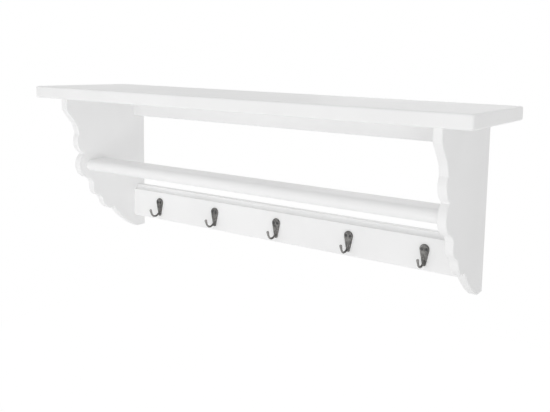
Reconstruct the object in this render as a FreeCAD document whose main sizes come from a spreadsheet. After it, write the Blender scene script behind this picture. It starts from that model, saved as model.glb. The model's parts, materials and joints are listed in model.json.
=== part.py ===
import FreeCAD, Part
import math
import os
import re
import Sketcher

os.makedirs("parts", exist_ok=True)

document = FreeCAD.newDocument("PegRailShelf")

# Frame: origin at the middle of the shelf board's back edge, on the wall.
# +X to the viewer's right, +Y into the wall, +Z up. All lengths are in millimetres.

SIZES = {
    # shelf board
    "shelf_length": 800,
    "shelf_depth": 200,
    "shelf_thickness": 20,
    "shelf_edge_round": 3,
    "shelf_corner_round": 5,
    # side brackets
    "shelf_overhang": 45,
    "shelf_nose": 19,
    "bracket_thickness": 13,
    "bracket_height": 257,
    "bracket_edge_chamfer": 1,
    "bracket_corner_round": 1.5,
    # rails between the brackets
    "rail_thickness": 20,
    "rail_set_in": 6,
    "rail_edge_round": 2,
    "upper_rail_height": 38,
    "front_rail_drop": 112.4,
    "front_rail_set_back": 41,
    "front_rail_width": 46,
    "front_rail_back_round": 4,
    "hook_board_drop": 174,
    "hook_board_height": 60,
    "hook_board_cove": 8,
    # dowels
    "dowel_diameter": 6,
    "dowel_length": 30,
    "dowel_into_bracket": 8,
    "dowel_into_shelf": 12,
    "dowel_end_gap": 0.5,
    "fit_gap": 0.05,
    "upper_rail_dowel_spacing": 16,
    "front_rail_dowel_spacing": 20,
    "hook_board_dowel_spacing": 30,
    "bracket_top_dowel_margin": 40,
    "shelf_rail_dowel_margin": 182,
    # coat hooks
    "hook_end_margin": 69,
    "hook_drop": 18.5,
    "hook_height": 34,
    "hook_plate_width": 15.5,
    "hook_plate_length": 34,
    "hook_plate_foot_width": 6,
    "hook_plate_thickness": 2.4,
    "hook_plate_chamfer": 0.7,
    "hook_ridge_drop": 12,
    "hook_rod_diameter": 3.4,
    "hook_throat_radius": 9,
    "hook_arm_lean": 70,
    "hook_arm_length": 6.2,
    "hook_tip_diameter": 4.6,
    # screws that hold the hooks
    "hook_screw_spacing": 7.2,
    "hook_screw_drop": 7.5,
    "hook_screw_head": 5.2,
    "hook_screw_shank": 2.8,
    "hook_screw_length": 16,
    "screw_point": 3,
    "recess_span": 2.8,
    "recess_width": 0.8,
    "recess_depth": 0.9,
    # keyhole hangers on the back
    "hanger_end_margin": 102,
    "hanger_height": 34,
    "hanger_width": 16,
    "hanger_thickness": 1.6,
    "keyhole_entry": 9,
    "keyhole_slot": 4.6,
    "keyhole_travel": 9,
    "keyhole_entry_drop": 4,
    "hanger_pocket_width": 12,
    "hanger_pocket_depth": 6,
    "hanger_screw_spacing": 26,
    "hanger_screw_head": 4.6,
    "hanger_screw_head_height": 1.7,
    "hanger_screw_shank": 2.2,
    "hanger_screw_length": 12,
}

# The bracket's front edge from the shelf down to the wall: each corner's depth and height as
# shares of the bracket's own, and how far the stretch below it swells (+) or hollows (-), as a
# share of that stretch's chord.
SCALLOP_SHARES = [
    (1.000, 1.000, 0),
    (1.000, 0.922, 0),
    (0.903, 0.835, -0.085),
    (0.861, 0.747, 0.22),
    (0.798, 0.611, 0.295),
    (0.779, 0.442, -0.13),
    (0.693, 0.393, 0),
    (0.693, 0.348, 0.15),
    (0.634, 0.299, -0.15),
    (0.575, 0.251, 0.12),
    (0.464, 0.179, 0),
    (0.425, 0.183, 0.06),
    (0.105, 0, 0),
    (0, 0, 0),
    (0, 1.000, 0),
]

# where a pair lies about its middle, as shares of its spacing
PAIR_SHARES = (-0.5, 0.5)

# where the coat hooks sit about the middle, as shares of their row
HOOK_PLACE_SHARES = (-0.5, -0.25, 0, 0.26, 0.5)

# the swell of a quarter and of a half circle, as shares of their chords
QUARTER_SWELL_SHARE = (math.sqrt(2) - 1) / 2
HALF_SWELL_SHARE = 0.5


def fill_sheet():
    """One spreadsheet row per driving dimension: its name, its value and the alias."""
    sheet = document.addObject("Spreadsheet::Sheet", "Sizes")
    for row, (name, value) in enumerate(SIZES.items(), start=1):
        sheet.set(f"A{row}", name)
        sheet.set(f"B{row}", str(value))
        sheet.setAlias(f"B{row}", name)
    document.recompute()
    return sheet


sheet = fill_sheet()


def bound(expression):
    """The expression with every size name pointing at its cell."""
    def to_cell(match):
        word = match.group(0)
        return f"Sizes.{word}" if word in SIZES else word
    return re.sub(r"[a-z_]+", to_cell, str(expression))


def value(expression):
    return float(sheet.evalExpression(bound(expression)))


def bind(item, name, expression):
    item.setExpression(name, bound(expression))


# Places that several pieces share

HALF_BAY = "(shelf_length / 2 - shelf_overhang - bracket_thickness)"
BRACKET_DEPTH = "(shelf_depth - shelf_nose)"
FRONT_RAIL_REACH = f"({BRACKET_DEPTH} - front_rail_set_back)"
SHELF_UNDERSIDE = "(-shelf_thickness / 2)"
RAIL_FRONT = "(-rail_set_in - rail_thickness)"
RAIL_MIDDLE = "(-rail_set_in - rail_thickness / 2)"
HOOK_BOARD_TOP = f"({SHELF_UNDERSIDE} - hook_board_drop)"
HOOK_BOARD_MIDDLE = f"({HOOK_BOARD_TOP} - hook_board_height / 2)"
UPPER_RAIL_MIDDLE = f"({SHELF_UNDERSIDE} - upper_rail_height / 2)"
FRONT_RAIL_TOP = f"({SHELF_UNDERSIDE} - front_rail_drop)"
FRONT_RAIL_MIDDLE = f"({FRONT_RAIL_TOP} - rail_thickness / 2)"
FRONT_RAIL_CENTRE = f"({FRONT_RAIL_REACH} * -1 + front_rail_width / 2)"
HOOK_TOP = f"({HOOK_BOARD_TOP} - hook_drop)"
HOLE_RADIUS = "(dowel_diameter / 2 + fit_gap)"
BRACKET_HOLE_DEPTH = "(dowel_into_bracket + dowel_end_gap)"
RAIL_HOLE_DEPTH = "(dowel_length - dowel_into_bracket + dowel_end_gap)"
SHELF_HOLE_DEPTH = "(dowel_into_shelf + dowel_end_gap)"
EDGE_HOLE_DEPTH = "(dowel_length - dowel_into_shelf + dowel_end_gap)"


def upper_rail_dowels():
    """Depth and height of the dowels in one end of the upper back rail."""
    return [(RAIL_MIDDLE, f"{UPPER_RAIL_MIDDLE} + {share} * upper_rail_dowel_spacing")
            for share in PAIR_SHARES]


def front_rail_dowels():
    return [(f"{FRONT_RAIL_CENTRE} + {share} * front_rail_dowel_spacing", FRONT_RAIL_MIDDLE)
            for share in PAIR_SHARES]


def hook_board_dowels():
    return [(RAIL_MIDDLE, f"{HOOK_BOARD_MIDDLE} + {share} * hook_board_dowel_spacing")
            for share in PAIR_SHARES]


def bracket_top_dowels(side):
    """Width and depth of the dowels that pin one bracket to the shelf board."""
    middle = f"{side} * ({HALF_BAY} + bracket_thickness / 2)"
    spacing = f"({BRACKET_DEPTH} - 2 * bracket_top_dowel_margin)"
    return [(middle, f"{BRACKET_DEPTH} / -2 + {share} * {spacing}") for share in PAIR_SHARES]


def shelf_rail_dowels():
    spacing = f"2 * ({HALF_BAY} - shelf_rail_dowel_margin)"
    return [(f"{share} * {spacing}", RAIL_MIDDLE) for share in PAIR_SHARES]


def hanger_places():
    spacing = f"2 * ({HALF_BAY} - hanger_end_margin)"
    return [f"{share} * {spacing}" for share in PAIR_SHARES]


def hook_places():
    row = f"2 * ({HALF_BAY} - hook_end_margin)"
    return [f"{share} * {row}" for share in HOOK_PLACE_SHARES]


# Drawing and feature helpers

def new_body(label, separate_pieces=False):
    body = document.addObject("PartDesign::Body", label)
    body.Label = label
    body.AllowCompound = separate_pieces
    return body


def place(body, across, depth, height):
    for axis, distance in zip("xyz", (across, depth, height)):
        bind(body, f"Placement.Base.{axis}", distance)
    return body


def origin_feature(body, role):
    return [item for item in body.Origin.OriginFeatures if item.Role == role][0]


def new_sketch(body, name, plane, offset="0"):
    """A sketch on one of the body's own origin planes, moved along its normal."""
    sketch = body.newObject("Sketcher::SketchObject", f"{body.Label}_{name}")
    sketch.AttachmentSupport = [(origin_feature(body, plane), "")]
    sketch.MapMode = "FlatFace"
    bind(sketch, "AttachmentOffset.Base.z", offset)
    return sketch


def pin(sketch, kind, geometry, end, distance):
    """Fixes one distance of a point from the sketch's origin."""
    number = sketch.addConstraint(
        Sketcher.Constraint(kind, -1, 1, geometry, end, value(distance)))
    bind(sketch, f"Constraints[{number}]", distance)


def pin_point(sketch, geometry, end, point):
    pin(sketch, "DistanceX", geometry, end, point[0])
    pin(sketch, "DistanceY", geometry, end, point[1])


def fix_radius(sketch, geometry, radius):
    number = sketch.addConstraint(Sketcher.Constraint("Radius", geometry, value(radius)))
    bind(sketch, f"Constraints[{number}]", radius)


def vector(point):
    return FreeCAD.Vector(value(point[0]), value(point[1]), 0)


def stretch(start, end, swell):
    """A straight or swelling stretch, with the sketch's numbers for its start and its end.

    swell is its rise as a share of its chord, positive to the right of the way it runs."""
    first = vector(start)
    last = vector(end)
    if not swell:
        return Part.LineSegment(first, last), 1, 2
    chord = last - first
    right = FreeCAD.Vector(chord.y, -chord.x, 0)
    curve = Part.Arc(first, (first + last) / 2 + right * swell, last)
    return (curve, 1, 2) if swell > 0 else (curve, 2, 1)


def swell_radius(start, end, swell):
    chord = f"hypot(({end[0]}) - ({start[0]}); ({end[1]}) - ({start[1]}))"
    return f"{chord} * {(1 + 4 * swell ** 2) / (8 * abs(swell))}"


def fix_curve(sketch, geometry, corner, following):
    """A half circle is held by its centre, midway between its ends, other arcs by their radius."""
    if corner[2] != HALF_SWELL_SHARE:
        fix_radius(sketch, geometry, swell_radius(corner, following, corner[2]))
        return
    chord = vector(following) - vector(corner)
    side = 1 if abs(chord.x) > abs(chord.y) else 0
    kind = ("DistanceX", "DistanceY")[side]
    pin(sketch, kind, geometry, 3, f"(({corner[side]}) + ({following[side]})) / 2")


def draw_outline(sketch, corners):
    """A closed outline of (x, y, swell) corners, run counterclockwise, bound to the sheet."""
    pairs = list(zip(corners, corners[1:] + corners[:1]))
    ends = []
    for corner, following in pairs:
        curve, start, end = stretch(corner, following, corner[2])
        ends.append((sketch.addGeometry(curve), start, end))
    for (geometry, start, end), (other, other_start, other_end) in zip(ends, ends[1:] + ends[:1]):
        sketch.addConstraint(Sketcher.Constraint("Coincident", geometry, end, other, other_start))
    for (geometry, start, end), (corner, following) in zip(ends, pairs):
        pin_point(sketch, geometry, start, corner)
        if corner[2]:
            fix_curve(sketch, geometry, corner, following)


def draw_circle(sketch, centre, radius):
    up = FreeCAD.Vector(0, 0, 1)
    geometry = sketch.addGeometry(Part.Circle(vector(centre), up, value(radius)))
    pin_point(sketch, geometry, 3, centre)
    fix_radius(sketch, geometry, radius)


def pad(body, sketch, length, reverse=False):
    feature = body.newObject("PartDesign::Pad", f"{sketch.Name}_pad")
    feature.Profile = sketch
    feature.Reversed = reverse
    bind(feature, "Length", length)
    document.recompute()
    return feature


def pocket(body, sketch, depth, reverse=False):
    before = body.Shape.Volume
    feature = body.newObject("PartDesign::Pocket", f"{sketch.Name}_pocket")
    feature.Profile = sketch
    feature.Reversed = reverse
    bind(feature, "Length", depth)
    document.recompute()
    if not body.Shape.Volume < before:
        raise RuntimeError(f"{feature.Name} cuts nothing")
    return feature


def revolve(body, sketch):
    """Turns a half section about the sketch's own upright axis."""
    feature = body.newObject("PartDesign::Revolution", f"{sketch.Name}_turned")
    feature.Profile = sketch
    feature.ReferenceAxis = (sketch, ["V_Axis"])
    document.recompute()
    return feature


def bore(body, name, plane, offset, centres, radius, depth, reverse=False):
    """Round blind holes, side by side, from one plane of the body."""
    sketch = new_sketch(body, name, plane, offset)
    for centre in centres:
        draw_circle(sketch, centre, radius)
    return pocket(body, sketch, depth, reverse)


def dress_edges(kind, body, name, size, wanted):
    """Rounds or chamfers the edges of the body that the test picks out."""
    base = body.Tip
    picked = [f"Edge{number}" for number, edge in enumerate(base.Shape.Edges, start=1)
              if wanted(edge.BoundBox)]
    feature = body.newObject(f"PartDesign::{kind}", f"{body.Label}_{name}")
    feature.Base = (base, picked)
    bind(feature, "Radius" if kind == "Fillet" else "Size", size)
    document.recompute()
    return feature


def repeat(body, features, role, spacing):
    """A second copy of the features, the spacing further along one of the body's axes."""
    feature = body.newObject("PartDesign::LinearPattern", f"{body.Label}_pair")
    feature.Originals = features
    feature.Direction = (origin_feature(body, role), [""])
    feature.Occurrences = 2
    bind(feature, "Length", spacing)
    body.Tip = feature
    document.recompute()
    return feature


def near(first, second):
    return abs(first - second) < value("fit_gap")


# Boards

def top_shelf():
    """The shelf board: rounded over on its front and ends, square against the wall."""
    body = new_body("top_shelf")
    half = "shelf_length / 2"
    sketch = new_sketch(body, "outline", "XY_Plane", SHELF_UNDERSIDE)
    draw_outline(sketch, [
        (f"-{half}", "0", 0),
        (f"-{half}", "-shelf_depth + shelf_corner_round", QUARTER_SWELL_SHARE),
        (f"-{half} + shelf_corner_round", "-shelf_depth", 0),
        (f"{half} - shelf_corner_round", "-shelf_depth", QUARTER_SWELL_SHARE),
        (half, "-shelf_depth + shelf_corner_round", 0),
        (half, "0", 0),
    ])
    pad(body, sketch, "shelf_thickness")

    def on_rim(box):
        return near(box.ZMin, box.ZMax) and not (near(box.YMin, 0) and near(box.YMax, 0))

    dress_edges("Fillet", body, "round_over", "shelf_edge_round", on_rim)
    dowels = bracket_top_dowels(-1) + bracket_top_dowels(1) + shelf_rail_dowels()
    bore(body, "dowel_holes", "XY_Plane", SHELF_UNDERSIDE, dowels,
         HOLE_RADIUS, SHELF_HOLE_DEPTH, reverse=True)


def side_panel(label, side):
    """A scalloped bracket: -1 is the viewer's left one, 1 the right one."""
    body = new_body(label)
    foot = f"({SHELF_UNDERSIDE} - bracket_height)"
    corners = [(f"{BRACKET_DEPTH} * {-depth}", f"{foot} + bracket_height * {height}", swell)
               for depth, height, swell in SCALLOP_SHARES]
    sketch = new_sketch(body, "outline", "YZ_Plane", f"{side} * {HALF_BAY}")
    draw_outline(sketch, corners)
    pad(body, sketch, "bracket_thickness", reverse=side < 0)
    top = value(SHELF_UNDERSIDE)

    def on_front(box):
        on_wall = near(box.YMin, 0) and near(box.YMax, 0)
        on_top = near(box.ZMin, top) and near(box.ZMax, top)
        return not on_wall and not on_top

    def at_corner(box):
        return near(box.YMin, box.YMax) and near(box.ZMin, box.ZMax) and on_front(box)

    def on_rim(box):
        return near(box.XMin, box.XMax) and on_front(box)

    dress_edges("Fillet", body, "soft_corners", "bracket_corner_round", at_corner)
    dress_edges("Chamfer", body, "eased_edge", "bracket_edge_chamfer", on_rim)
    dowels = upper_rail_dowels() + front_rail_dowels() + hook_board_dowels()
    bore(body, "rail_dowel_holes", "YZ_Plane", f"{side} * {HALF_BAY}", dowels,
         HOLE_RADIUS, BRACKET_HOLE_DEPTH, reverse=side > 0)
    bore(body, "shelf_dowel_holes", "XY_Plane", SHELF_UNDERSIDE, bracket_top_dowels(side),
         HOLE_RADIUS, EDGE_HOLE_DEPTH)


def rail(label, corners, dowels):
    """A board of the given section that spans the bay, with dowel holes in both ends."""
    body = new_body(label)
    sketch = new_sketch(body, "section", "YZ_Plane", f"-{HALF_BAY}")
    draw_outline(sketch, corners)
    pad(body, sketch, f"2 * {HALF_BAY}")
    bore(body, "left_dowel_holes", "YZ_Plane", f"-{HALF_BAY}", dowels,
         HOLE_RADIUS, RAIL_HOLE_DEPTH, reverse=True)
    bore(body, "right_dowel_holes", "YZ_Plane", HALF_BAY, dowels, HOLE_RADIUS, RAIL_HOLE_DEPTH)
    return body


def upper_back_rail():
    """The apron under the shelf, set in from the wall, with pockets for the wall screws."""
    bottom = f"{SHELF_UNDERSIDE} - upper_rail_height"
    body = rail("upper_back_rail", [
        (RAIL_FRONT, SHELF_UNDERSIDE, 0),
        (RAIL_FRONT, f"{bottom} + rail_edge_round", QUARTER_SWELL_SHARE),
        (f"{RAIL_FRONT} + rail_edge_round", bottom, 0),
        ("-rail_set_in", bottom, 0),
        ("-rail_set_in", SHELF_UNDERSIDE, 0),
    ], upper_rail_dowels())
    bore(body, "shelf_dowel_holes", "XY_Plane", SHELF_UNDERSIDE, shelf_rail_dowels(),
         HOLE_RADIUS, EDGE_HOLE_DEPTH)
    sketch = new_sketch(body, "hanger_pockets", "XZ_Plane", "rail_set_in")
    for middle in hanger_places():
        half = "hanger_pocket_width / 2"
        entry = f"{UPPER_RAIL_MIDDLE} - keyhole_entry_drop"
        slot_end = f"{entry} + keyhole_travel"
        draw_outline(sketch, [
            (f"{middle} + {half}", entry, 0),
            (f"{middle} + {half}", slot_end, HALF_SWELL_SHARE),
            (f"{middle} - {half}", slot_end, 0),
            (f"{middle} - {half}", entry, HALF_SWELL_SHARE),
        ])
    pocket(body, sketch, "hanger_pocket_depth", reverse=True)
    centres = [(middle, f"{UPPER_RAIL_MIDDLE} + {share} * hanger_screw_spacing")
               for middle in hanger_places() for share in PAIR_SHARES]
    bore(body, "hanger_screw_holes", "XZ_Plane", "rail_set_in", centres,
         "hanger_screw_shank / 2 + fit_gap",
         "hanger_screw_length - hanger_thickness + dowel_end_gap", reverse=True)


def front_rail():
    """The narrow rail behind the brackets' bulge: a full round nose and eased back corners."""
    back = f"(front_rail_width - {FRONT_RAIL_REACH})"
    nose = f"(rail_thickness / 2 - {FRONT_RAIL_REACH})"
    bottom = f"({FRONT_RAIL_TOP} - rail_thickness)"
    rail("front_rail", [
        (nose, FRONT_RAIL_TOP, HALF_SWELL_SHARE),
        (nose, bottom, 0),
        (f"{back} - front_rail_back_round", bottom, QUARTER_SWELL_SHARE),
        (back, f"{bottom} + front_rail_back_round", 0),
        (back, f"{FRONT_RAIL_TOP} - front_rail_back_round", QUARTER_SWELL_SHARE),
        (f"{back} - front_rail_back_round", FRONT_RAIL_TOP, 0),
    ], front_rail_dowels())


def hook_board():
    """The lower back board: a cove along its top front edge, pilot holes for the hooks."""
    bottom = f"({HOOK_BOARD_TOP} - hook_board_height)"
    body = rail("hook_board", [
        (f"{RAIL_FRONT} + hook_board_cove", HOOK_BOARD_TOP, -QUARTER_SWELL_SHARE),
        (RAIL_FRONT, f"{HOOK_BOARD_TOP} - hook_board_cove", 0),
        (RAIL_FRONT, f"{bottom} + rail_edge_round", QUARTER_SWELL_SHARE),
        (f"{RAIL_FRONT} + rail_edge_round", bottom, 0),
        ("-rail_set_in", bottom, 0),
        ("-rail_set_in", HOOK_BOARD_TOP, 0),
    ], hook_board_dowels())
    centres = [(f"{middle} + {share} * hook_screw_spacing", f"{HOOK_TOP} - hook_screw_drop")
               for middle in hook_places() for share in PAIR_SHARES]
    bore(body, "hook_screw_holes", "XZ_Plane", "rail_set_in + rail_thickness", centres,
         "hook_screw_shank / 2 + fit_gap",
         "hook_screw_length - hook_plate_thickness + dowel_end_gap")


# Dowels

def dowel_group(label, plane, start, centres):
    """Separate dowels that lie side by side."""
    body = new_body(label, separate_pieces=True)
    sketch = new_sketch(body, "rounds", plane, start)
    for centre in centres:
        draw_circle(sketch, centre, "dowel_diameter / 2")
    pad(body, sketch, "dowel_length")


def rail_dowels():
    centres = upper_rail_dowels() + front_rail_dowels() + hook_board_dowels()
    dowel_group("rail_dowels_left", "YZ_Plane", f"-{HALF_BAY} - dowel_into_bracket", centres)
    dowel_group("rail_dowels_right", "YZ_Plane",
                f"{HALF_BAY} + dowel_into_bracket - dowel_length", centres)


def shelf_dowels():
    centres = bracket_top_dowels(-1) + bracket_top_dowels(1) + shelf_rail_dowels()
    dowel_group("shelf_dowels", "XY_Plane",
                f"{SHELF_UNDERSIDE} + dowel_into_shelf - dowel_length", centres)


# Coat hooks. Each is drawn about the top of its plate, on the board's face.

ROD_RADIUS = "(hook_rod_diameter / 2)"
ROD_LINE = f"(-{ROD_RADIUS} - fit_gap)"
BEND_RADIUS = f"(hook_throat_radius + {ROD_RADIUS})"
BEND_HEIGHT = f"({ROD_RADIUS} + {BEND_RADIUS} - hook_height)"
ARM_START = (f"{ROD_LINE} - {BEND_RADIUS} * (1 + sin(hook_arm_lean))",
             f"{BEND_HEIGHT} - {BEND_RADIUS} * cos(hook_arm_lean)")


def hook_plate(body):
    """A teardrop: a wide round head that tapers along tangents to a small round foot."""
    head = "(hook_plate_width / 2)"
    foot = "(hook_plate_foot_width / 2)"
    slope = f"(({head} - {foot}) / (hook_plate_length - {head} - {foot}))"
    level = f"sqrt(1 - {slope} ^ 2)"
    taper = math.asin(value(slope))
    head_swell = math.tan((math.pi + 2 * taper) / 4) / 2
    foot_swell = math.tan((math.pi - 2 * taper) / 4) / 2
    head_height = f"-{head} * (1 + {slope})"
    foot_height = f"{foot} * (1 - {slope}) - hook_plate_length"
    sketch = new_sketch(body, "plate", "XZ_Plane")
    draw_outline(sketch, [
        (f"{head} * {level}", head_height, head_swell),
        (f"-{head} * {level}", head_height, 0),
        (f"-{foot} * {level}", foot_height, foot_swell),
        (f"{foot} * {level}", foot_height, 0),
    ])
    pad(body, sketch, "hook_plate_thickness")
    front = -value("hook_plate_thickness")

    def on_front_rim(box):
        return near(box.YMin, front) and near(box.YMax, front)

    dress_edges("Chamfer", body, "plate_bevel", "hook_plate_chamfer", on_front_rim)


def hook_ridge(body):
    """The rod's upper end, which tapers to a point inside the plate."""
    sketch = new_sketch(body, "ridge", "YZ_Plane")
    bind(sketch, "AttachmentOffset.Base.x", ROD_LINE)
    draw_outline(sketch, [
        ("0", BEND_HEIGHT, 0),
        (ROD_RADIUS, BEND_HEIGHT, 0),
        ("0", "-hook_ridge_drop", 0),
    ])
    revolve(body, sketch)


def hook_bend(body):
    """The J's bend, swept round the throat."""
    section = new_sketch(body, "rod", "XY_Plane", BEND_HEIGHT)
    draw_circle(section, ("0", ROD_LINE), ROD_RADIUS)
    path = new_sketch(body, "bend_path", "YZ_Plane")
    centre = (f"{ROD_LINE} - {BEND_RADIUS}", BEND_HEIGHT)
    circle = Part.Circle(vector(centre), FreeCAD.Vector(0, 0, 1), value(BEND_RADIUS))
    turn = math.radians(value("hook_arm_lean"))
    arc = path.addGeometry(Part.ArcOfCircle(circle, -math.pi / 2 - turn, 0))
    pin_point(path, arc, 3, centre)
    fix_radius(path, arc, BEND_RADIUS)
    pin(path, "DistanceY", arc, 2, BEND_HEIGHT)
    pin(path, "DistanceY", arc, 1, ARM_START[1])
    feature = body.newObject("PartDesign::AdditivePipe", f"{body.Label}_bend")
    feature.Profile = section
    feature.Spine = (path, ["Edge1"])
    document.recompute()


def hook_arm(body):
    """The J's leaning arm, which flares towards its rounded tip."""
    tip = "hook_tip_diameter / 2"
    sketch = new_sketch(body, "arm", "YZ_Plane")
    bind(sketch, "AttachmentOffset.Base.x", ARM_START[0])
    bind(sketch, "AttachmentOffset.Base.y", ARM_START[1])
    bind(sketch, "AttachmentOffset.Rotation.Angle", "(90 - hook_arm_lean) * 1 deg")
    draw_outline(sketch, [
        ("0", "0", 0),
        (ROD_RADIUS, "0", 0),
        (tip, "hook_arm_length", QUARTER_SWELL_SHARE),
        ("0", f"hook_arm_length + {tip}", 0),
    ])
    revolve(body, sketch)


def hook_holes(body):
    """Two countersunk holes, side by side in the head of the plate."""
    sketch = new_sketch(body, "screw_places", "XZ_Plane", "hook_plate_thickness")
    for share in PAIR_SHARES:
        draw_circle(sketch, (f"{share} * hook_screw_spacing", "-hook_screw_drop"),
                    "hook_screw_shank / 2")
    before = body.Shape.Volume
    document.recompute()
    feature = body.newObject("PartDesign::Hole", f"{body.Label}_screw_holes")
    feature.Profile = sketch
    document.recompute()
    feature.ThreadType = "None"
    feature.DepthType = "ThroughAll"
    bind(feature, "Diameter", "hook_screw_shank + 2 * fit_gap")
    feature.HoleCutType = "Countersink"
    feature.HoleCutCustomValues = True
    bind(feature, "HoleCutDiameter", "hook_screw_head + 2 * fit_gap")
    feature.HoleCutCountersinkAngle = 90
    document.recompute()
    if not body.Shape.Volume < before:
        raise RuntimeError(f"{feature.Name} cuts nothing")


def coat_hook(label, across):
    body = new_body(label)
    hook_plate(body)
    hook_ridge(body)
    hook_bend(body)
    hook_arm(body)
    hook_holes(body)
    place(body, across, RAIL_FRONT, HOOK_TOP)


def hook_screws(label, across):
    """A hook's two countersunk screws, each with a cross recess."""
    body = new_body(label, separate_pieces=True)
    first = "-hook_screw_spacing / 2"
    head = "(hook_screw_head / 2)"
    shank = "(hook_screw_shank / 2)"
    face = "-hook_plate_thickness"
    section = new_sketch(body, "section", "XY_Plane", "-hook_screw_drop")
    bind(section, "AttachmentOffset.Base.x", first)
    draw_outline(section, [
        ("0", face, 0),
        (head, face, 0),
        (shank, f"{face} + {head} - {shank}", 0),
        (shank, f"{face} + hook_screw_length - screw_point", 0),
        ("0", f"{face} + hook_screw_length", 0),
    ])
    turned = revolve(body, section)
    recess = new_sketch(body, "recess", "XZ_Plane", "hook_plate_thickness")
    bind(recess, "AttachmentOffset.Base.x", first)
    bind(recess, "AttachmentOffset.Base.y", "-hook_screw_drop")
    wide = "recess_span / 2"
    thin = "recess_width / 2"
    draw_outline(recess, [(x, y, 0) for x, y in (
        (wide, f"-{thin}"), (wide, thin), (thin, thin), (thin, wide),
        (f"-{thin}", wide), (f"-{thin}", thin), (f"-{wide}", thin), (f"-{wide}", f"-{thin}"),
        (f"-{thin}", f"-{thin}"), (f"-{thin}", f"-{wide}"), (thin, f"-{wide}"),
        (thin, f"-{thin}"))])
    cut = pocket(body, recess, "recess_depth")
    repeat(body, [turned, cut], "X_Axis", "hook_screw_spacing")
    place(body, across, RAIL_FRONT, HOOK_TOP)


# Keyhole hangers on the back of the apron

def hanger_plate(label, across):
    """A thin plate with a keyhole for the wall screw and a small screw above and below it."""
    body = new_body(label)
    half = "hanger_width / 2"
    straight = f"(hanger_height / 2 - {half})"
    entry = "(keyhole_entry / 2)"
    slot = "(keyhole_slot / 2)"
    throat = f"sqrt({entry} ^ 2 - {slot} ^ 2)"
    entry_height = "-keyhole_entry_drop"
    slot_end = f"{entry_height} + keyhole_travel"
    entry_swell = value(f"({entry} + {throat}) / keyhole_slot")
    sketch = new_sketch(body, "outline", "XZ_Plane")
    draw_outline(sketch, [
        (half, f"-{straight}", 0),
        (half, straight, HALF_SWELL_SHARE),
        (f"-{half}", straight, 0),
        (f"-{half}", f"-{straight}", HALF_SWELL_SHARE),
    ])
    draw_outline(sketch, [
        (slot, f"{entry_height} + {throat}", 0),
        (slot, slot_end, HALF_SWELL_SHARE),
        (f"-{slot}", slot_end, 0),
        (f"-{slot}", f"{entry_height} + {throat}", entry_swell),
    ])
    for share in PAIR_SHARES:
        draw_circle(sketch, ("0", f"{share} * hanger_screw_spacing"),
                    "hanger_screw_shank / 2 + fit_gap")
    pad(body, sketch, "hanger_thickness", reverse=True)
    place(body, across, "-rail_set_in", UPPER_RAIL_MIDDLE)


def hanger_screws(label, across):
    """The two round-headed screws of one hanger."""
    body = new_body(label, separate_pieces=True)
    head = "(hanger_screw_head / 2)"
    shank = "(hanger_screw_shank / 2)"
    face = "hanger_thickness"
    sketch = new_sketch(body, "section", "XY_Plane", "-hanger_screw_spacing / 2")
    draw_outline(sketch, [
        ("0", f"{face} - hanger_screw_length", 0),
        (shank, f"{face} - hanger_screw_length + screw_point", 0),
        (shank, face, 0),
        (head, face, 0),
        (head, f"{face} + hanger_screw_head_height / 2", 0),
        (shank, f"{face} + hanger_screw_head_height", 0),
        ("0", f"{face} + hanger_screw_head_height", 0),
    ])
    turned = revolve(body, sketch)
    repeat(body, [turned], "Z_Axis", "hanger_screw_spacing")
    place(body, across, "-rail_set_in", UPPER_RAIL_MIDDLE)


def build():
    top_shelf()
    side_panel("side_panel_left", -1)
    side_panel("side_panel_right", 1)
    upper_back_rail()
    front_rail()
    hook_board()
    rail_dowels()
    shelf_dowels()
    for number, across in enumerate(hook_places(), start=1):
        coat_hook(f"coat_hook_{number}", across)
        hook_screws(f"hook_screws_{number}", across)
    for side, across in zip(("left", "right"), hanger_places()):
        hanger_plate(f"hanger_plate_{side}", across)
        hanger_screws(f"hanger_screws_{side}", across)


def check_and_write():
    """Every feature has to be sound before any piece is written."""
    document.recompute()
    for item in document.Objects:
        if "Invalid" in item.State or "Error" in item.State:
            raise RuntimeError(f"{item.Name} did not build")
    bodies = [item for item in document.Objects if item.TypeId == "PartDesign::Body"]
    for body in bodies:
        if body.Shape.isNull() or not body.Shape.isValid():
            raise RuntimeError(f"{body.Label} has no sound shape")
    for body in bodies:
        body.Shape.exportStep(f"parts/{body.Label}.step")
        print(body.Label, len(body.Shape.Solids), round(body.Shape.Volume, 1))


build()
check_and_write()
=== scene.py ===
import json
import math

import bpy
from mathutils import Matrix, Vector

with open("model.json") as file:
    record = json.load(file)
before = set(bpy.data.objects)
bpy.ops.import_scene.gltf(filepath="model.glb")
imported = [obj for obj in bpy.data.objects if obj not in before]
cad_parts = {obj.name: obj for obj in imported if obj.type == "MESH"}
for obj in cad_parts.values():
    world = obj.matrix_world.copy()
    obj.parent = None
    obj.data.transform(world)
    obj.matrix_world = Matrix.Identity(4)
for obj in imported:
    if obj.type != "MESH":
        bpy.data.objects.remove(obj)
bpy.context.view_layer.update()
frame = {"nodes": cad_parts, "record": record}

# Camera that was fitted to the photograph's straight edges (pixels, metres, degrees)
IMAGE_WIDTH = 550
CAMERA_PLACE = (0.6677, -0.9657, 0.0687)
CAMERA_TURN = 31.79
CAMERA_PITCH = 7.19
CAMERA_ROLL = 1.36
FOCAL_PIXELS = 689.5
SHIFT_PIXELS = (45.7, -60)
SENSOR_WIDTH = 36
# A camera without tilt looks straight down, and with this much it looks level
LEVEL_TILT = 90

# Surround: its strength as light on the object, and as the white behind it
SURROUND_LIGHT = 0.69
BACKDROP_WHITE = 1.0

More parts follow.
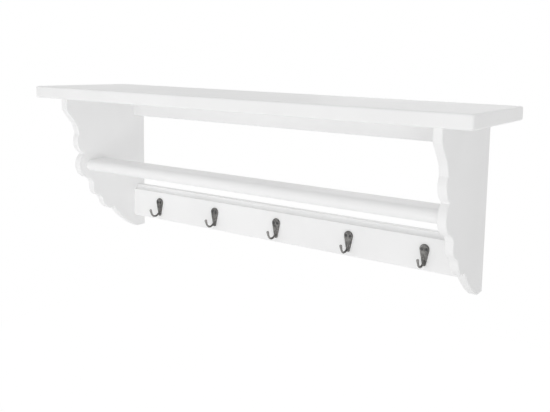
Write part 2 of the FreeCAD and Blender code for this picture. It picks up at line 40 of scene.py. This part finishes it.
# Lamps: watts, metres and degrees, all wide and aimed at the rack's middle unless they say more
WIDE_SPREAD = 180
RACK_MIDDLE = (0, -0.1, -0.13)
LAMPS = {
    "front": {"power": 4.4, "size": 1.6, "place": (-0.1, -1.5, -0.8)},
    "side": {"power": 6.3, "size": 1.6, "place": (1.0, -1.8, -0.6)},
    "above": {"power": 0.9, "size": 2.0, "place": (0, -0.5, 2.4)},
    "rear": {"power": 5.5, "size": 1.2, "place": (-0.3, 1.6, -0.3)},
    "inner": {"power": 0.085, "size": 0.4, "place": (0.2, -0.9, -0.3),
              "spread": 60, "target": (-0.345, -0.09, -0.1)},
}

# Floor
FLOOR_HEIGHT = -2.2
FLOOR_SIZE = 9
FLOOR_GLOW_SHARE = 0.9
FLOOR_WHITE = 1.04
FLOOR_TONES = (0.94, 0.96)
FLOOR_MOTTLE = {"scale": 3}

# Ways that strokes and grain run: the squeeze of the texture along each axis
EVENLY = (1, 1, 1)
ALONG_BOARDS = (0.02, 1, 1)
ALONG_BRACKETS = (1, 1, 0.02)
ALONG_DOWELS = (0.08, 1, 1)

# Noise seldom leaves its middle values, so a finish's two tones lie at these
LOW_NOISE = 0.35
HIGH_NOISE = 0.65

# Finishes: noise scales per metre, relief depths in metres, gloss as the least and most roughness
PAINT = {
    "tones": (0.895, 0.928),
    "cloud": {"scale": 7, "detail": 3},
    "strokes": {"scale": 420, "detail": 3, "roughness": 0.6},
    "stipple": {"scale": 1500},
    "stipple_share": 0.35,
    "relief": {"Strength": 0.1, "Distance": 0.0003},
    "gloss": (0.4, 0.52),
}
IRON = {
    "tones": (0.085, 0.24),
    # the lightest tone, a painted highlight towards the hook arms' tips
    "tip_highlight_tone": 0.38,
    "tint": (1, 0.98, 0.95),
    "cloud": {"scale": 260, "detail": 4, "roughness": 0.6},
    "grain": {"scale": 2600, "detail": 3, "roughness": 0.6},
    "relief": {"Strength": 0.35, "Distance": 0.00015},
    "metallic": 0.85,
    "gloss": (0.5, 0.36),
}
SMALL_METAL = {
    "cloud": {"scale": 700, "detail": 3},
    "grain": {"scale": 5200},
    "relief": {"Strength": 0.2, "Distance": 0.0001},
    "metallic": 0.9,
    "gloss": (0.34, 0.48),
}
BEECH = {
    "dark": (0.5, 0.33, 0.19, 1),
    "light": (0.72, 0.54, 0.36, 1),
    "grain": {"scale": 900, "detail": 4, "roughness": 0.65},
    "flecks": {"scale": 3200},
    "relief": {"Strength": 0.3, "Distance": 0.0002},
    "gloss": (0.55, 0.7),
}
DARK_SCREW_TONES = (0.05, 0.13)
ZINC_TONES = (0.5, 0.68)

# Coat hooks: the depths, from the wall forward, over which a painted highlight lightens the arm
# towards its tip, and how much
ARM_BACK = -0.042
ARM_TIP = -0.052
TIP_HIGHLIGHT_SHARE = 0.3


class Graph:
    """A small helper that builds one node tree."""

    def __init__(self, tree):
        self.tree = tree
        self.tree.nodes.clear()

    def add(self, kind, settings=None, **inputs):
        """A new node. Inputs are named with _ for a space and take a value or a socket."""
        node = self.tree.nodes.new(kind)
        for name, setting in (settings or {}).items():
            setattr(node, name, setting)
        for name, source in inputs.items():
            socket = node.inputs[name.replace("_", " ")]
            if isinstance(source, bpy.types.NodeSocket):
                self.link(source, socket)
            else:
                socket.default_value = source
        return node

    def link(self, source, target):
        self.tree.links.new(source, target)


def new_material(name):
    material = bpy.data.materials.new(name)
    material.use_nodes = True
    return material, Graph(material.node_tree)


def finish_surface(graph, **inputs):
    surface = graph.add("ShaderNodeBsdfPrincipled", **inputs)
    output = graph.add("ShaderNodeOutputMaterial")
    graph.link(surface.outputs[0], output.inputs["Surface"])


def place_texture(graph, squeeze=EVENLY):
    """The piece's own coordinates in metres, squeezed along the way that strokes run."""
    coordinates = graph.add("ShaderNodeTexCoord")
    mapping = graph.add("ShaderNodeMapping", Vector=coordinates.outputs["Object"], Scale=squeeze)
    return mapping.outputs[0]


def noise(graph, vector, scale, detail=2, roughness=0.5):
    node = graph.add("ShaderNodeTexNoise", Vector=vector, Scale=scale, Detail=detail,
                     Roughness=roughness)
    return node.outputs["Fac"]


def ramp(graph, factor, low, high, tip_highlight=None):
    node = graph.add("ShaderNodeValToRGB", Fac=factor)
    node.color_ramp.elements[0].position = LOW_NOISE
    node.color_ramp.elements[0].color = low
    node.color_ramp.elements[1].position = HIGH_NOISE
    node.color_ramp.elements[1].color = high
    # an optional top tone, used only for the painted highlight on the hook arms' tips
    if tip_highlight:
        node.color_ramp.elements.new(1).color = tip_highlight
    return node.outputs["Color"]


def between(graph, factor, low, high):
    node = graph.add("ShaderNodeMapRange", Value=factor, To_Min=low, To_Max=high)
    return node.outputs[0]


def raised(graph, height, relief):
    bump = graph.add("ShaderNodeBump", Height=height, **relief)
    return bump.outputs[0]


def combine(graph, operation, first, second):
    """Two values through one Math node."""
    node = graph.add("ShaderNodeMath", {"operation": operation})
    for source, socket in zip((first, second), node.inputs):
        if isinstance(source, bpy.types.NodeSocket):
            graph.link(source, socket)
        else:
            socket.default_value = source
    return node.outputs[0]


def grey(level, tint=(1, 1, 1)):
    return (level * tint[0], level * tint[1], level * tint[2], 1)


def white_paint(name, squeeze):
    """Satin white paint: a faint cloud of tone, strokes along the board and a fine stipple."""
    material, graph = new_material(name)
    along = place_texture(graph, squeeze)
    around = place_texture(graph)
    cloud = noise(graph, around, **PAINT["cloud"])
    strokes = noise(graph, along, **PAINT["strokes"])
    stipple = noise(graph, around, **PAINT["stipple"])
    low, high = PAINT["tones"]
    height = graph.add("ShaderNodeMix", {"data_type": "FLOAT"}, Factor=PAINT["stipple_share"],
                       A=strokes, B=stipple)
    finish_surface(graph, Base_Color=ramp(graph, cloud, grey(low), grey(high)),
                   Roughness=between(graph, strokes, *PAINT["gloss"]),
                   Normal=raised(graph, height.outputs[0], PAINT["relief"]))
    return material


def antique_iron(name):
    """Dark cast metal: cloudy tone, a painted highlight lighter towards the arm's tip, a fine
    cast grain.
    """
    material, graph = new_material(name)
    around = place_texture(graph)
    cloud = noise(graph, around, **IRON["cloud"])
    grain = noise(graph, around, **IRON["grain"])
    depth = graph.add("ShaderNodeSeparateXYZ", Vector=around).outputs["Y"]
    # painted highlight: the tone is lifted towards the front of the arm, standing in for the
    # shine on the hook tips
    tip_highlight_mask = graph.add("ShaderNodeMapRange", Value=depth, From_Min=ARM_BACK, From_Max=ARM_TIP,
                       To_Max=TIP_HIGHLIGHT_SHARE)
    tone = combine(graph, "ADD", cloud, tip_highlight_mask.outputs[0])
    low, high, tip_highlight = (grey(level, IRON["tint"]) for level in (*IRON["tones"], IRON["tip_highlight_tone"]))
    finish_surface(graph, Base_Color=ramp(graph, tone, low, high, tip_highlight),
                   Metallic=IRON["metallic"], Roughness=between(graph, cloud, *IRON["gloss"]),
                   Normal=raised(graph, grain, IRON["relief"]))
    return material


def small_metal(name, tones):
    """Metal of screws and hangers: cloudy, slightly worn tone and gloss, with a fine grain."""
    material, graph = new_material(name)
    around = place_texture(graph)
    cloud = noise(graph, around, **SMALL_METAL["cloud"])
    grain = noise(graph, around, **SMALL_METAL["grain"])
    low, high = tones
    finish_surface(graph, Base_Color=ramp(graph, cloud, grey(low), grey(high)),
                   Metallic=SMALL_METAL["metallic"],
                   Roughness=between(graph, cloud, *SMALL_METAL["gloss"]),
                   Normal=raised(graph, grain, SMALL_METAL["relief"]))
    return material


def beech(name):
    """Sanded beech: a long grain in its tone and gloss, short flecks in its relief."""
    material, graph = new_material(name)
    along = place_texture(graph, ALONG_DOWELS)
    grain = noise(graph, along, **BEECH["grain"])
    flecks = noise(graph, along, **BEECH["flecks"])
    finish_surface(graph, Base_Color=ramp(graph, grain, BEECH["dark"], BEECH["light"]),
                   Roughness=between(graph, grain, *BEECH["gloss"]),
                   Normal=raised(graph, flecks, BEECH["relief"]))
    return material


def dress(node, material):
    """Gives a CAD piece its finish in every material slot."""
    item = frame["nodes"][node]
    if not item.material_slots:
        item.data.materials.append(material)
    for slot in item.material_slots:
        slot.material = material


def dress_all():
    along_brackets = white_paint("paint_along_brackets", ALONG_BRACKETS)
    finishes = {
        "white_paint": white_paint("paint_along_boards", ALONG_BOARDS),
        "antique_iron": antique_iron("antique_iron"),
        "dark_screw": small_metal("dark_screw", DARK_SCREW_TONES),
        "zinc_plate": small_metal("zinc_plate", ZINC_TONES),
        "beech": beech("beech"),
    }
    for part in frame["record"]["subparts"]:
        finish = finishes[part["material_slot"]]
        if part["node"].startswith("side_panel"):
            finish = along_brackets
        dress(part["node"], finish)


def seen_directly(graph):
    """1 for rays of the eye, of reflections and through glass, 0 for rays that only light."""
    rays = graph.add("ShaderNodeLightPath").outputs
    seen = combine(graph, "MAXIMUM", rays["Is Camera Ray"], rays["Is Glossy Ray"])
    return combine(graph, "MAXIMUM", seen, rays["Is Transmission Ray"])


def make_world():
    """White to the eye and to reflections, softer as light on the object."""
    world = bpy.data.worlds.new("studio")
    bpy.context.scene.world = world
    world.use_nodes = True
    graph = Graph(world.node_tree)
    strength = between(graph, seen_directly(graph), SURROUND_LIGHT, BACKDROP_WHITE)
    background = graph.add("ShaderNodeBackground", Color=grey(1), Strength=strength)
    output = graph.add("ShaderNodeOutputWorld")
    graph.link(background.outputs[0], output.inputs["Surface"])


def pale_floor(name):
    """Mostly white light to the eye and to reflections, and otherwise a plain matt floor."""
    material, graph = new_material(name)
    low, high = FLOOR_TONES
    mottle = noise(graph, place_texture(graph), **FLOOR_MOTTLE)
    plain = graph.add("ShaderNodeBsdfDiffuse", Color=ramp(graph, mottle, grey(low), grey(high)))
    glow = graph.add("ShaderNodeEmission", Color=grey(1), Strength=FLOOR_WHITE)
    share = combine(graph, "MULTIPLY", seen_directly(graph), FLOOR_GLOW_SHARE)
    mix = graph.add("ShaderNodeMixShader", Fac=share)
    graph.link(plain.outputs[0], mix.inputs[1])
    graph.link(glow.outputs[0], mix.inputs[2])
    output = graph.add("ShaderNodeOutputMaterial")
    graph.link(mix.outputs[0], output.inputs["Surface"])
    return material


def make_floor():
    """A pale floor well below the rack, bright to the eye but still taking its shadow."""
    half = FLOOR_SIZE / 2
    mesh = bpy.data.meshes.new("floor")
    corners = [(-half, -half), (half, -half), (half, half), (-half, half)]
    mesh.from_pydata([(x, y, FLOOR_HEIGHT) for x, y in corners], [], [(0, 1, 2, 3)])
    mesh.materials.append(pale_floor("pale_floor"))
    floor = bpy.data.objects.new("floor", mesh)
    bpy.context.scene.collection.objects.link(floor)


def aim(item, place, target):
    item.location = place
    item.rotation_euler = (Vector(target) - Vector(place)).to_track_quat("-Z", "Y").to_euler()


def make_lamps():
    for name, settings in LAMPS.items():
        lamp = bpy.data.lights.new(name, "AREA")
        lamp.energy = settings["power"]
        lamp.size = settings["size"]
        lamp.spread = math.radians(settings.get("spread", WIDE_SPREAD))
        item = bpy.data.objects.new(name, lamp)
        item.visible_camera = False
        bpy.context.scene.collection.objects.link(item)
        aim(item, settings["place"], settings.get("target", RACK_MIDDLE))


def make_camera():
    camera = bpy.data.cameras.new("camera")
    camera.sensor_width = SENSOR_WIDTH
    camera.lens = FOCAL_PIXELS / IMAGE_WIDTH * SENSOR_WIDTH
    camera.shift_x = -SHIFT_PIXELS[0] / IMAGE_WIDTH
    camera.shift_y = SHIFT_PIXELS[1] / IMAGE_WIDTH
    item = bpy.data.objects.new("camera", camera)
    bpy.context.scene.collection.objects.link(item)
    turn = Matrix.Rotation(math.radians(CAMERA_TURN), 4, "Z")
    pitch = Matrix.Rotation(math.radians(LEVEL_TILT - CAMERA_PITCH), 4, "X")
    roll = Matrix.Rotation(math.radians(CAMERA_ROLL), 4, "Z")
    item.matrix_world = Matrix.Translation(CAMERA_PLACE) @ turn @ pitch @ roll
    bpy.context.scene.camera = item


dress_all()
make_world()
make_floor()
make_lamps()
make_camera()
bpy.context.scene.view_settings.view_transform = "Standard"
